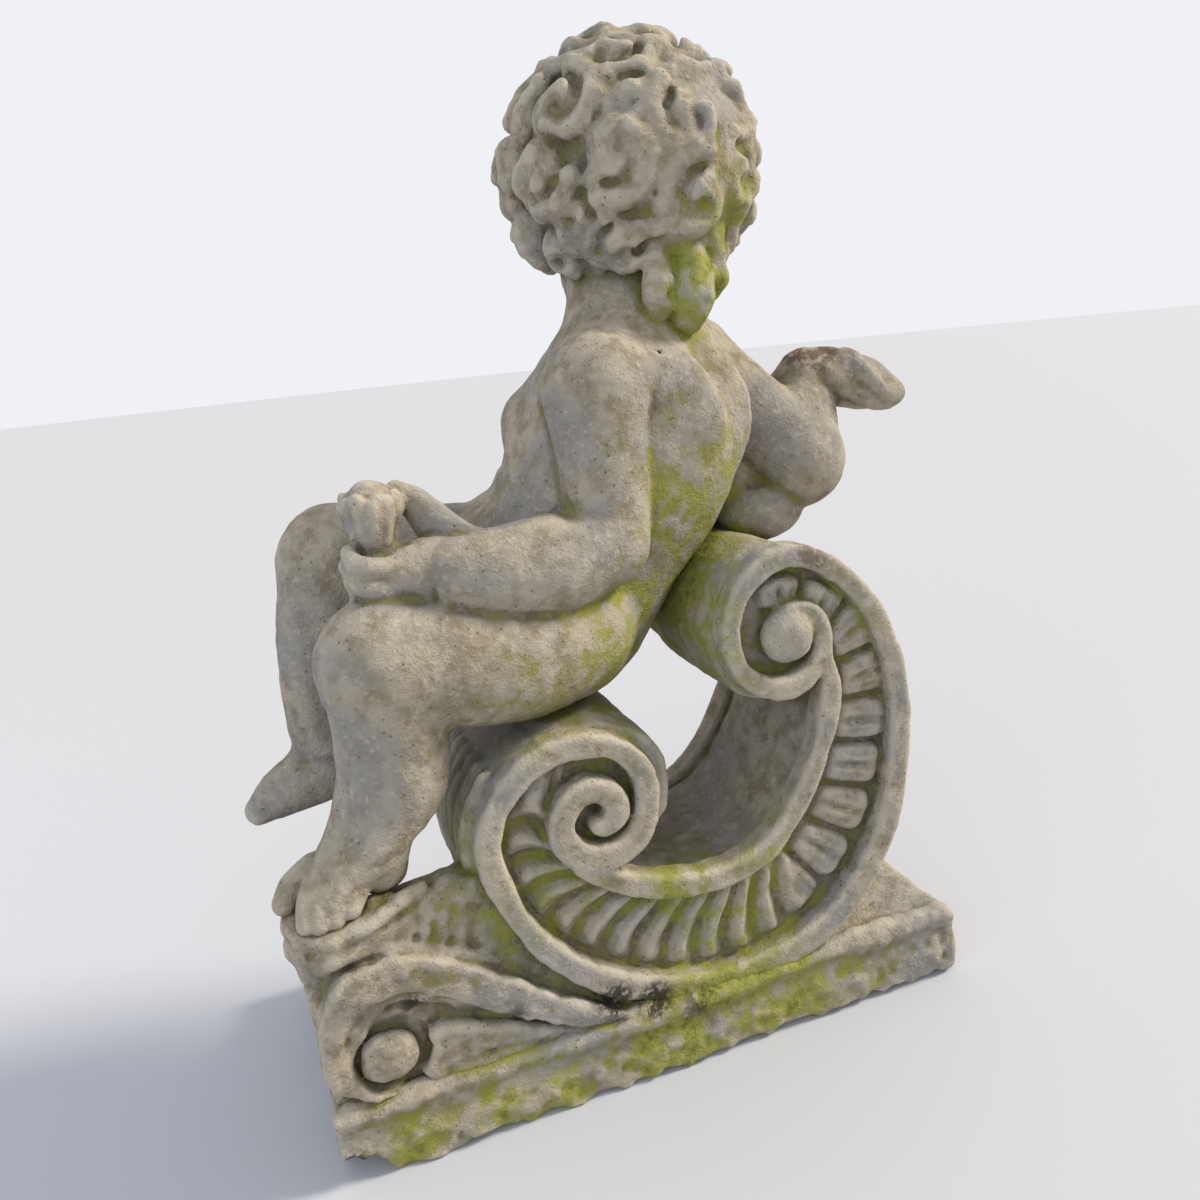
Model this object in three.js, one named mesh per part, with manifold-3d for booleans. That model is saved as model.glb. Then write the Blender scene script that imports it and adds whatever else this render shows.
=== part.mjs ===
// A garden figure carved from one block of limestone. A curly haired putto sits on the
// lower volute of a large C scroll and leans its right elbow on the upper one. The left
// foot rests on a rocky mound, and scroll and mound grow out of one low plinth.
// Millimetres, +Z up. X runs along the plinth, the carved face looks towards -Y.
import * as THREE from 'three';
import { mergeVertices } from 'three/addons/utils/BufferGeometryUtils.js';
import Module from 'manifold-3d';

const wasm = await Module();
wasm.setup();

// ---- driving dimensions ----
const PLINTH = { length: 640, depth: 300, height: 70, bevel: 10 };
const SCROLL = { front: -146, back: 60, sink: 15, leafPitch: 48 };
const MOUND = { front: -132, ledge: -84, back: 60, top: 245, rear: 120 };
const HEAD = { at: [94, 30, 828], skull: [98, 108, 102], toFace: [-0.36, 0.93, 0] };
const CURL = { count: 32, aside: 113, above: 103, ring: 22, thick: 21, thin: 13 };
const PETAL = { count: 14, rise: 13 };
const LIMESTONE = { color: '#b9b09a', roughness: 0.95, metalness: 0 };

// Everything that is joined to the block, and everything that is cut from it.
const stone = [];
const cuts = [];

// A closed three.js geometry as a manifold-3d solid.
function solid(geometry) {
  const bare = geometry.index ? geometry.toNonIndexed() : geometry.clone();
  for (const name of Object.keys(bare.attributes)) {
    if (name !== 'position') bare.deleteAttribute(name);
  }
  const merged = mergeVertices(bare, 1e-3);
  return new wasm.Manifold(new wasm.Mesh({
    numProp: 3,
    vertProperties: new Float32Array(merged.attributes.position.array),
    triVerts: new Uint32Array(merged.index.array),
  }));
}

// A rounded mass drawn along a smooth path. Each station is [x, y, z, wide, deep]; wide is
// measured along the direction `across`, and deep at right angles to it.
function mass(stations, { sides = 12, steps = 6, across = [0, 1, 0], cap = 2 } = {}) {
  const full = stations.map((s) => (s.length > 4 ? s : [...s, s[3]]));
  const path = new THREE.CatmullRomCurve3(
    full.map((s) => new THREE.Vector3(s[0], s[1], s[2])), false, 'centripetal');
  const last = full.length - 1;
  const girth = (t, k) => {
    const u = t * last;
    const i = Math.min(Math.floor(u), last - 1);
    const f = u - i;
    const blend = f * f * (3 - 2 * f);
    return full[i][k] * (1 - blend) + full[i + 1][k] * blend;
  };
  const rings = [];
  const ring = (t, shift, scale) => {
    const tangent = path.getTangent(t).normalize();
    const side = new THREE.Vector3(...across);
    side.addScaledVector(tangent, -side.dot(tangent)).normalize();
    rings.push({
      at: path.getPoint(t).addScaledVector(tangent, shift),
      side: side.clone().multiplyScalar(girth(t, 3) * scale),
      front: new THREE.Vector3().crossVectors(tangent, side).multiplyScalar(girth(t, 4) * scale),
    });
  };
  const endReach = (t) => Math.min(girth(t, 3), girth(t, 4));
  for (let i = 0; i < cap; i += 1) {
    const a = (i / cap) * Math.PI / 2;
    ring(0, -endReach(0) * Math.cos(a), Math.sin(a));
  }
  for (let i = 0; i <= steps; i += 1) ring(i / steps, 0, 1);
  for (let i = cap - 1; i >= 0; i -= 1) {
    const a = (i / cap) * Math.PI / 2;
    ring(1, endReach(1) * Math.cos(a), Math.sin(a));
  }
  const geometry = new THREE.SphereGeometry(1, sides, rings.length - 1);
  const position = geometry.attributes.position;
  rings.forEach((r, row) => {
    for (let k = 0; k <= sides; k += 1) {
      const a = (k / sides) * Math.PI * 2;
      const p = r.at.clone()
        .addScaledVector(r.side, -Math.cos(a))
        .addScaledVector(r.front, Math.sin(a));
      position.setXYZ(row * (sides + 1) + k, p.x, p.y, p.z);
    }
  });
  return solid(geometry);
}

// A rounded lump: centre, three half sizes, and turns about X, Y and Z in degrees.
function lump(at, half, turn = [0, 0, 0], sides = 12, rings = 8) {
  const geometry = new THREE.SphereGeometry(1, sides, rings);
  geometry.rotateX(Math.PI / 2);
  geometry.scale(...half);
  const angles = turn.map((v) => THREE.MathUtils.degToRad(v));
  geometry.applyMatrix4(new THREE.Matrix4().makeRotationFromEuler(new THREE.Euler(...angles, 'ZYX')));
  geometry.translate(...at);
  return solid(geometry);
}

// An outline in X and Z, drawn out between two depths.
function slab(outline, front, back) {
  const shape = new THREE.Shape(outline.map(([x, z]) => new THREE.Vector2(x, z)));
  const geometry = new THREE.ExtrudeGeometry(shape, { depth: back - front, bevelEnabled: false });
  geometry.rotateX(Math.PI / 2);
  geometry.translate(0, back, 0);
  return solid(geometry);
}

// An outline in X and Y, drawn up between two heights.
function block(outline, bottom, top) {
  const shape = new THREE.Shape(outline.map(([x, y]) => new THREE.Vector2(x, y)));
  const geometry = new THREE.ExtrudeGeometry(shape, { depth: top - bottom, bevelEnabled: false });
  geometry.translate(0, 0, bottom);
  return solid(geometry);
}

// A flat band of changing width along a line of [x, z, halfWidth].
function band(line, front, back) {
  const left = [];
  const right = [];
  line.forEach(([x, z, half], i) => {
    const a = line[Math.max(i - 1, 0)];
    const b = line[Math.min(i + 1, line.length - 1)];
    const dx = b[0] - a[0];
    const dz = b[1] - a[1];
    const length = Math.hypot(dx, dz);
    left.push([x - (dz / length) * half, z + (dx / length) * half]);
    right.push([x + (dz / length) * half, z - (dx / length) * half]);
  });
  return slab([...left, ...right.reverse()], front, back);
}

// A smooth line through [x, z, halfWidth] points, as count + 1 points.
function smooth(points, count) {
  const curve = new THREE.CatmullRomCurve3(
    points.map(([x, z, half = 0]) => new THREE.Vector3(x, half, z)), false, 'centripetal');
  return curve.getPoints(count).map((p) => [p.x, p.z, p.y]);
}

// A spiral line about a pole, from its radius and half width at each quarter turn.
function spiral(pole, startAngle, direction, turns) {
  return turns.map(([r, half], i) => {
    const a = THREE.MathUtils.degToRad(startAngle + direction * 90 * i);
    return [pole[0] + r * Math.cos(a), pole[1] + r * Math.sin(a), half];
  });
}

// ---- plinth: a plain slab with worn arrises ----
{
  const { length, depth, height, bevel } = PLINTH;
  const x = length / 2 - bevel;
  const y = depth / 2 - bevel;
  const corners = [[-x, -y], [x, -y], [x, y], [-x, y]];
  const outline = new THREE.Shape(corners.map((c) => new THREE.Vector2(...c)));
  const geometry = new THREE.ExtrudeGeometry(outline, {
    depth: height - bevel, bevelSegments: 1, bevelSize: bevel, bevelThickness: bevel,
  });
  stone.push(solid(geometry));
  // the bevel below is cut off again, so that the slab stands on its full underside
  cuts.push(slab([[-length, -height], [length, -height], [length, 0], [-length, 0]], -length, length));
  // the near left corner has broken away
  cuts.push(lump([-length / 2, -depth / 2, -4], [44, 34, 32], [0, 0, 20], 7, 5));
}

// ---- mound under the left foot: a squared face, and rough rock behind ----
{
  const { front, ledge, back, top, rear } = MOUND;
  // the foot stands on a narrow ledge
  const profile = slab([
    [-314, 10], [-316, 120], [-322, 200], [-324, top], [-262, top - 8], [-160, top + 4],
    [-128, 190], [-80, 120], [10, 50], [10, 10],
  ], front, back);
  const ledgeLine = block([
    [-330, front], [-326, -100], [-300, -70], [-220, ledge], [10, ledge], [10, front],
  ], 0, top + 10);
  stone.push(profile.intersect(ledgeLine));
  // behind the ledge the rock drops away
  stone.push(block([[-316, -100], [-262, 10], [-190, back], [10, back], [10, -100]], 10, rear)
    .intersect(profile));
  const rocks = [
    [[-240, -30, 80], [56, 66, 96], 20], [[-180, 30, 86], [66, 60, 78], 50],
    [[-250, 74, 60], [58, 50, 62], 75], [[-104, 70, 66], [74, 54, 58], 10],
  ];
  for (const [at, half, turn] of rocks) stone.push(lump(at, half, [0, 0, turn], 6, 4));
  // the thick lip that the toes hang over
  stone.push(mass([[-306, -78, 242, 11], [-317, -112, 242, 12], [-294, -134, 240, 12], [-252, -138, 244, 11],
    [-212, -126, 250, 9]], { sides: 5, steps: 5, across: [0, 0, 1], cap: 1 }));
  // the small scroll below it, and the leaf in its hollow
  const relief = -PLINTH.depth / 2 + 1;
  const arm = smooth([
    [-40, 70, 4], [-99, 97, 12], [-160, 136, 17], [-200, 163, 18], [-236, 184, 18], [-270, 188, 19],
    [-294, 168, 20], [-301, 136, 19], [-296, 108, 16], [-276, 94, 13],
  ], 14);
  stone.push(band(arm, relief, front + 20));
  stone.push(lump([-264, relief + 8, 112], [25, 12, 25], [0, 0, 0], 8, 5));
  const leaf = smooth([[-48, 68, 4], [-104, 73, 9], [-160, 84, 17], [-200, 92, 25], [-224, 96, 29]], 8);
  stone.push(band(leaf, relief + 4, front + 20));
}

// ---- C scroll: two rims, a sunk channel between them, and a volute at each end ----
{
  const { front, back, sink, leafPitch } = SCROLL;
  const lower = spiral([-55, 281], -90, 1,
    [[9, 8], [17, 11], [26, 12], [34, 13], [40, 13], [47, 11], [69, 11], [100, 11]]);
  const upper = spiral([143, 410], 90, 1, [[74, 11], [57, 10], [51, 10], [34, 9], [20, 9]]);
  const outer = smooth([
    ...lower, [-134, 198, 11], [-78, 127, 12], [10, 82, 14], [92, 76, 15], [176, 104, 14],
    [236, 178, 13], [258, 265, 12], [256, 345, 11], [232, 416, 10], [190, 464, 10], ...upper,
  ], 44);
  const inner = smooth([
    [-75, 236, 7], [-45, 214, 11], [0, 195, 12], [55, 187, 12], [108, 202, 12], [148, 246, 12],
    [175, 300, 11], [184, 345, 10], [180, 385, 7],
  ], 15);
  stone.push(band(outer, front, back));
  stone.push(band(inner, front, back));
  stone.push(slab([
    [-152, 276], [-134, 198], [-78, 127], [10, 82], [92, 76], [176, 104], [236, 178], [258, 265], [256, 345],
    [232, 416], [190, 464], [143, 482], [98, 462], [86, 410], [104, 370], [143, 358], [176, 372],
    [184, 345], [175, 300], [148, 246], [108, 202], [55, 187], [0, 195], [-30, 216], [-8, 281],
    [-20, 330], [-55, 350], [-118, 330],
  ], front + sink, back - sink));
  stone.push(lump([143, front + 6, 405], [24, 16, 24], [0, 0, 0], 8, 5));
  // worn leaves stand up the left end, behind the calf
  for (let y = front + 40; y < back; y += leafPitch) {
    stone.push(mass([[-146, y, 320, 9], [-157, y, 288, 14], [-155, y + 4, 236, 17], [-146, y + 8, 176, 12]],
      { across: [0, 1, 0], sides: 5, steps: 2, cap: 1 }));
  }
  // two round lobes to each petal, along the channel from the upper to the lower volute
  const middle = smooth([
    [126, 452, 14], [176, 436, 20], [214, 396, 25], [226, 345, 27], [220, 290, 30], [204, 230, 33],
    [172, 178, 34], [126, 144, 36], [76, 132, 38], [20, 138, 38], [-40, 164, 34], [-88, 204, 28],
    [-112, 256, 24], [-102, 306, 18],
  ], 2 * PETAL.count);
  for (let i = 0; i < 2 * PETAL.count; i += 1) {
    const [x, z, reach] = middle[i];
    const [nextX, nextZ] = middle[i + 1];
    const pitch = Math.hypot(nextX - x, nextZ - z);
    const along = THREE.MathUtils.radToDeg(Math.atan2(nextZ - z, nextX - x));
    stone.push(lump([(x + nextX) / 2, front + sink, (z + nextZ) / 2], [pitch * 0.52, PETAL.rise, reach],
      [0, -along, 0], 5, 3));
  }
}

// ---- figure ----
const across = [0.8, 0.6, 0];
const fleshy = { across, sides: 7, steps: 3 };
const thin = { across, sides: 5, steps: 2, cap: 1 };
stone.push(
  // trunk: hips, waist, chest and shoulders, then belly, breast and buttock
  mass([[-20, 8, 428, 94, 84], [16, 15, 500, 104, 100], [66, 16, 588, 120, 112], [88, 20, 640, 104, 76]],
    { across, sides: 10, steps: 4 }),
  lump([-42, 42, 505], [74, 74, 60], [0, 0, 30], 8, 5),
  lump([-2, 36, 614], [48, 48, 36], [0, 0, 0], 8, 5),
  lump([62, 82, 614], [48, 48, 36], [0, 0, 0], 8, 5),
  lump([-42, -46, 424], [68, 62, 62], [0, 0, 0], 8, 5),
  lump([-2, 66, 424], [66, 60, 62], [0, 0, 0], 8, 5),
  mass([[18, -44, 652, 37], [88, 12, 678, 48], [154, 60, 656, 40]], { across: [0, 0, 1], sides: 7, steps: 3 }),
  // left arm
  mass([[14, -55, 638, 52], [8, -70, 572, 43], [-2, -84, 512, 39]], fleshy),
  mass([[-6, -86, 508, 40], [-62, -94, 500, 45], [-122, -96, 502, 38], [-174, -88, 516, 27]], fleshy),
  // left leg
  mass([[-40, -46, 430, 68], [-100, -75, 428, 66], [-208, -95, 448, 56]], fleshy),
  mass([[-210, -95, 445, 55], [-213, -92, 390, 50], [-218, -93, 345, 47], [-246, -100, 296, 34],
    [-242, -94, 268, 28]], { ...fleshy, steps: 4 }),
  // right leg
  mass([[10, 70, 430, 67], [-90, 68, 476, 62], [-227, 60, 512, 48]], fleshy),
  mass([[-228, 60, 512, 48], [-247, 60, 450, 45], [-266, 62, 360, 33], [-266, 62, 308, 30]],
    { ...fleshy, steps: 4 }),
  mass([[-262, 62, 300, 31], [-306, 58, 290, 27], [-341, 55, 273, 14]], { ...fleshy, steps: 3 }),
  // right arm, folded back on itself
  mass([[160, 72, 640, 54], [208, 40, 590, 48], [254, 8, 540, 47]], fleshy),
  mass([[254, 10, 536, 46], [272, 34, 585, 37], [284, 46, 622, 28]], fleshy),
  lump([202, 16, 496], [56, 46, 34], [0, 0, 0], 6, 4),
  lump([176, 36, 520], [42, 40, 46], [0, 0, 0], 6, 3),
  // neck
  mass([[76, 16, 650, 66], [72, 22, 696, 58], [82, 32, 770, 62]], { ...fleshy, steps: 2 }),
);

// left hand round the foot of a flower head, whose stem bends back over the wrist
stone.push(
  lump([-194, -86, 517], [24, 20, 20], [0, 0, 0], 6, 4),
  mass([[-186, -94, 524, 11], [-208, -100, 529, 11], [-226, -92, 528, 9]], thin),
  mass([[-186, -88, 508, 11], [-212, -94, 508, 11], [-228, -86, 512, 9]], thin),
  mass([[-184, -66, 530, 11], [-200, -56, 545, 11], [-214, -58, 556, 8]], thin),
  mass([[-200, -78, 530, 18], [-198, -76, 556, 27], [-196, -74, 574, 24]], { ...fleshy, sides: 7, steps: 2 }),
  mass([[-176, -62, 584, 14], [-160, -62, 570, 16], [-140, -68, 546, 17], [-126, -76, 524, 15]],
    { ...fleshy, sides: 6, steps: 3 }),
);
for (let i = 0; i < 5; i += 1) {
  const a = i * 2.4;
  const r = 7 * Math.sqrt(i);
  stone.push(lump([-196 + r * Math.cos(a), -74 + r * Math.sin(a), 588 - 0.6 * r], [9, 9, 9], [0, 0, 0], 5, 3));
}

// right hand with the stump of a broken bundle
stone.push(
  lump([284, 46, 630], [31, 25, 26], [0, 0, 0], 7, 5),
  mass([[268, 56, 618, 20], [306, 38, 626, 27], [345, 18, 612, 24], [368, 6, 600, 13]],
    { ...fleshy, sides: 7 }),
);
for (let i = 0; i < 3; i += 1) {
  stone.push(mass([[284 + 12 * i, 24 - 4 * i, 634 - 5 * i, 11], [282 + 12 * i, 13 - 4 * i, 618 - 5 * i, 11],
    [288 + 12 * i, 16 - 4 * i, 600 - 5 * i, 9]], thin));
}

// left foot: instep and five toes over the lip of the mound
stone.push(mass([[-242, -98, 298, 32], [-268, -106, 282, 29, 24], [-290, -112, 266, 26, 15]],
  { across: [0.6, -0.8, 0], sides: 8, steps: 3 }));
const toes = [
  [[-304, -96, 268], [-321, -102, 256], 12], [[-297, -108, 267], [-308, -127, 247], 9],
  [[-288, -112, 267], [-297, -131, 247], 8.5], [[-278, -114, 265], [-284, -131, 248], 8],
  [[-258, -112, 264], [-270, -129, 252], 8.5],
];
for (const [root, tip, r] of toes) {
  stone.push(mass([[...root, r], [...tip, r * 0.85]], { ...thin, steps: 1, cap: 2 }));
}

// ---- head: a calm, round child's face under the curls ----
{
  const ahead = new THREE.Vector3(...HEAD.toFace);
  const aside = new THREE.Vector3(ahead.y, -ahead.x, 0);
  // a place on the head: how far forward, to its right, and up from the middle
  const place = (forward, right, up) => new THREE.Vector3(...HEAD.at)
    .addScaledVector(ahead, forward)
    .addScaledVector(aside, right)
    .add(new THREE.Vector3(0, 0, up))
    .toArray();
  const facing = [0, 0, THREE.MathUtils.radToDeg(Math.atan2(-ahead.x, ahead.y))];
  stone.push(
    lump(place(-16, 0, 2), HEAD.skull, facing, 10, 7),
    lump(place(18, 0, -16), [73, 81, 87], facing, 10, 7),
    lump(place(58, 0, -66), [24, 24, 18], facing, 6, 5),
    lump(place(90, 0, -20), [12, 14, 11], facing, 6, 5),
    mass([[...place(84, 0, -2), 8], [...place(92, 0, -18), 10]],
      { across: aside.toArray(), sides: 5, steps: 1, cap: 1 }),
    lump(place(86, 0, -46), [17, 9, 7], facing, 6, 4),
  );
  for (const hand of [-1, 1]) {
    stone.push(
      lump(place(60, 34 * hand, -34), [28, 26, 26], facing, 7, 5),
      lump(place(84, 28 * hand, -6), [9, 10, 7], facing, 6, 4),
      mass([[...place(86, 10 * hand, 12), 8], [...place(80, 30 * hand, 15), 8], [...place(64, 50 * hand, 8), 7]],
        { across: [0, 0, 1], sides: 5, steps: 2, cap: 1 }),
    );
  }
}

// ---- hair: snail curls set over the head in an even spiral, none on the face ----
{
  const { count, aside, above, ring, thick, thin: end } = CURL;
  const toFace = new THREE.Vector3(...HEAD.toFace);
  for (let i = 0; i < count; i += 1) {
    const up = 1 - 1.8 * ((i + 0.5) / count);
    const round = i * Math.PI * (3 - Math.sqrt(5));
    const out = new THREE.Vector3(
      Math.sqrt(1 - up * up) * Math.cos(round), Math.sqrt(1 - up * up) * Math.sin(round), up);
    if (out.dot(toFace) > 0.52 && up < 0.52) continue;
    const side = new THREE.Vector3(-out.y, out.x, 0).normalize();
    const rise = new THREE.Vector3().crossVectors(out, side);
    const turn = i % 2 ? 1 : -1;
    const line = [];
    for (let k = 0; k <= 3; k += 1) {
      const a = i * 1.7 + turn * k * 1.6;
      const r = ring * (1.15 - 0.1 * k);
      const p = new THREE.Vector3(...HEAD.at)
        .add(new THREE.Vector3(out.x * aside, out.y * aside, out.z * above))
        .addScaledVector(out, 4 * k - 4)
        .addScaledVector(side, r * Math.cos(a))
        .addScaledVector(rise, r * Math.sin(a));
      line.push([p.x, p.y, p.z, thick + (end - thick) * (k / 3)]);
    }
    stone.push(mass(line, { across: out.toArray(), sides: 5, steps: 3, cap: 1 }));
  }
  // two locks that hang down the nape
  for (const [x, y] of [[88, -64], [122, -52]]) {
    stone.push(mass([[x, y, 738, 26], [x, y + 8, 708, 24], [x - 2, y + 16, 690, 17]],
      { across: [1, 0, 0], sides: 6, steps: 2 }));
  }
}

let statue = wasm.Manifold.union(stone);
for (const cut of cuts) statue = statue.subtract(cut);
// a pocket shut in between two masses is solid stone, so only the outer skin is kept
[statue] = statue.decompose().filter((skin) => skin.volume() > 0);

const faces = statue.getMesh();
const geometry = new THREE.BufferGeometry();
geometry.setAttribute('position', new THREE.BufferAttribute(faces.vertProperties, 3));
geometry.setIndex(new THREE.BufferAttribute(faces.triVerts, 1));
geometry.computeBoundingBox();
const middleOfBox = geometry.boundingBox.getCenter(new THREE.Vector3());
geometry.translate(-middleOfBox.x, -middleOfBox.y, 0);

const statueMesh = new THREE.Mesh(geometry, new THREE.MeshStandardMaterial(LIMESTONE));
statueMesh.name = 'stone_putto_statue';
const figure = new THREE.Group();
figure.add(statueMesh);
export default figure;
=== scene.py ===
"""A garden figure carved from one block of limestone: a curly haired putto on a C scroll, over a low plinth.

The block is worked as a mason works it. Masses are set out in a field of distances, in millimetres, with
a fillet at each join. Hollows are cut, the weather roughens the field, and its skin becomes the mesh.
"""

import bpy
import numpy as np
from mathutils import Euler, Matrix, Vector


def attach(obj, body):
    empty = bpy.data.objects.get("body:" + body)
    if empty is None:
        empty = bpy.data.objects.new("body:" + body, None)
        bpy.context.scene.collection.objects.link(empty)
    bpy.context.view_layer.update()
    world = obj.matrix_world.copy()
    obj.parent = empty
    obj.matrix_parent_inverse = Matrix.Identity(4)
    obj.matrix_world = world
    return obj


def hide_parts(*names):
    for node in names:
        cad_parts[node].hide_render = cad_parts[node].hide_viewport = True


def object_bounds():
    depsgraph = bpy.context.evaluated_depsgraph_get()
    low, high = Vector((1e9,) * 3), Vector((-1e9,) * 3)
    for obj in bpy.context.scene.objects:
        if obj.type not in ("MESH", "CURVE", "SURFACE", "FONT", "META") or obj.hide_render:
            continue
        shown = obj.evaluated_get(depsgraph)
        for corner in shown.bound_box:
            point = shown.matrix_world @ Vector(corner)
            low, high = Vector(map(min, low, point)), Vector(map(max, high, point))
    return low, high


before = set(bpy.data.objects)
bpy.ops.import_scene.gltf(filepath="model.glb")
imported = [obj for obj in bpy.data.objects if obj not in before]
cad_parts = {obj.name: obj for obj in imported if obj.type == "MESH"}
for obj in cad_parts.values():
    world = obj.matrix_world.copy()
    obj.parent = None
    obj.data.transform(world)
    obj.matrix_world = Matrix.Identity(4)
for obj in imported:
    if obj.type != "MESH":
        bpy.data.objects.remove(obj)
cad_box = np.array(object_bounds())

bpy.ops.object.select_all(action="DESELECT")


# ---- Plinth ----
# A low slab sawn from the bed, 640 x 300 x 70 mm, with a worn shelf round its top edge and a rough lower
# band. The lower edge has lost chips along its whole length, and the near left corner has broken away.

STEP = 2.3
# the arm and the foot reach further to one side, so the block's middle is off the plinth's middle
OFF_MIDDLE = np.array([-13.37, 2.61, 0.0])
PLINTH = {"length": 640, "depth": 300, "height": 70}


class Block:
    """A box of space in mm, sampled at even steps. It holds each place's distance to the carved surface."""

    def __init__(self, low, high, step=STEP):
        self.low = np.array(low, float)
        self.step = step
        count = np.ceil((np.array(high) - self.low) / step).astype(int) + 1
        self.depth = np.full(count, 60.0, np.float32)

    def near(self, low, high):
        """The samples between two corners, and their X, Y and Z."""
        size = np.array(self.depth.shape)
        first = np.clip(np.floor((np.array(low) - self.low) / self.step).astype(int), 0, size - 1)
        last = np.clip(np.ceil((np.array(high) - self.low) / self.step).astype(int) + 1, 1, size)
        lines = [(self.low[k] + self.step * np.arange(first[k], last[k])).astype(np.float32) for k in range(3)]
        where = tuple(slice(a, b) for a, b in zip(first, last))
        return where, lines[0][:, None, None], lines[1][None, :, None], lines[2][None, None, :]

    def add(self, *forms, fillet=0.0):
        for low, high, distance in forms:
            spare = 8 + 1.2 * fillet
            where, x, y, z = self.near(np.array(low) - spare, np.array(high) + spare)
            self.depth[where] = soft_min(self.depth[where], distance(x, y, z), fillet)

    def cut(self, *forms, fillet=0.0):
        for low, high, distance in forms:
            spare = 4 + 1.2 * fillet
            where, x, y, z = self.near(np.array(low) - spare, np.array(high) + spare)
            self.depth[where] = -soft_min(-self.depth[where], distance(x, y, z), fillet)


def soft_min(a, b, fillet):
    if fillet <= 0:
        return np.minimum(a, b)
    near = np.maximum(fillet - np.abs(a - b), 0) / fillet
    return np.minimum(a, b) - near * near * fillet / 4


def rub_down(block, times=1):
    """Rubs the surface down, so that the marks where two stretches of a form meet go."""
    for _ in range(times):
        for axis in range(3):
            f = np.moveaxis(block.depth, axis, 0)
            f[1:-1] = 0.25 * f[:-2] + 0.5 * f[1:-1] + 0.25 * f[2:]


def ball(at, half, turn=(0, 0, 0)):
    """A rounded lump: its centre, three half sizes, and turns about X, Y and Z in degrees."""
    at, half = np.array(at, float), np.array(half, float)
    m = np.array(Euler(np.radians(turn), "XYZ").to_matrix())
    reach = np.sqrt((m * m) @ (half * half))

    def distance(x, y, z):
        p = (x - at[0], y - at[1], z - at[2])
        q = [(m[0, k] * p[0] + m[1, k] * p[1] + m[2, k] * p[2]) / half[k] for k in range(3)]
        inside = np.sqrt(q[0] ** 2 + q[1] ** 2 + q[2] ** 2)
        slope = np.sqrt((q[0] / half[0]) ** 2 + (q[1] / half[1]) ** 2 + (q[2] / half[2]) ** 2)
        return inside * (inside - 1) / (slope + 1e-6)

    return at - reach, at + reach, distance


def through(points, steps, places=3):
    """A smooth line through rows of numbers, with so many steps from each row to the next."""
    p = np.array([list(row) + [row[-1]] * (max(map(len, points)) - len(row)) for row in points], float)
    p = np.vstack([2 * p[0] - p[1], p, 2 * p[-1] - p[-2]])
    line = []
    for p0, p1, p2, p3 in zip(p, p[1:], p[2:], p[3:]):
        t = np.cumsum([0] + [np.linalg.norm((b - a)[:places]) ** 0.5 + 1e-6
                             for a, b in ((p0, p1), (p1, p2), (p2, p3))])
        for u in t[1] + (t[2] - t[1]) * np.arange(steps) / steps:
            a1 = (p0 * (t[1] - u) + p1 * (u - t[0])) / (t[1] - t[0])
            a2 = (p1 * (t[2] - u) + p2 * (u - t[1])) / (t[2] - t[1])
            a3 = (p2 * (t[3] - u) + p3 * (u - t[2])) / (t[3] - t[2])
            b1 = (a1 * (t[2] - u) + a2 * (u - t[0])) / (t[2] - t[0])
            b2 = (a2 * (t[3] - u) + a3 * (u - t[1])) / (t[3] - t[1])
            line.append((b1 * (t[2] - u) + b2 * (u - t[1])) / (t[2] - t[1]))
    return np.array(line + [p[-2]])


def limb(stations, across=None, steps=4):
    """A rounded mass along a smooth path. Each station is x, y, z and its half width, and where the
    section is flat also its half depth. Width is measured along `across`."""
    line = through([list(s) + [s[3]] * (5 - len(s)) for s in stations], steps)
    spread = line[:, 3:].max()

    def distance(x, y, z):
        best = None
        for a, b in zip(line, line[1:]):
            path = (b - a)[:3]
            length = np.linalg.norm(path) + 1e-6
            px, py, pz = x - a[0], y - a[1], z - a[2]
            t = np.clip((px * path[0] + py * path[1] + pz * path[2]) / length ** 2, 0, 1)
            vx, vy, vz = px - t * path[0], py - t * path[1], pz - t * path[2]
            wide = a[3] + (b[3] - a[3]) * t
            if across is None:
                d = np.sqrt(vx * vx + vy * vy + vz * vz) - wide
            else:
                deep = a[4] + (b[4] - a[4]) * t
                ahead = path / length
                side = np.array(across, float) - ahead * np.dot(across, ahead)
                side /= np.linalg.norm(side)
                front = np.cross(ahead, side)
                s = (vx * side[0] + vy * side[1] + vz * side[2]) / wide
                f = (vx * front[0] + vy * front[1] + vz * front[2]) / deep
                e = (vx * ahead[0] + vy * ahead[1] + vz * ahead[2]) / np.minimum(wide, deep)
                d = (np.sqrt(s * s + f * f + e * e) - 1) * np.minimum(wide, deep)
            best = d if best is None else np.minimum(best, d)
        return best

    return line[:, :3].min(0) - spread, line[:, :3].max(0) + spread, distance


def box(low, high, soft):
    """A squared block with rounded arrises."""
    low, high = np.array(low, float), np.array(high, float)
    middle, half = (low + high) / 2, (high - low) / 2 - soft

    def distance(x, y, z):
        q = [np.abs(v - middle[k]) - half[k] for k, v in enumerate((x, y, z))]
        outside = np.sqrt(sum(np.maximum(v, 0) ** 2 for v in q))
        return outside + np.minimum(np.maximum(np.maximum(q[0], q[1]), q[2]), 0) - soft

    return low, high, distance


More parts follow.
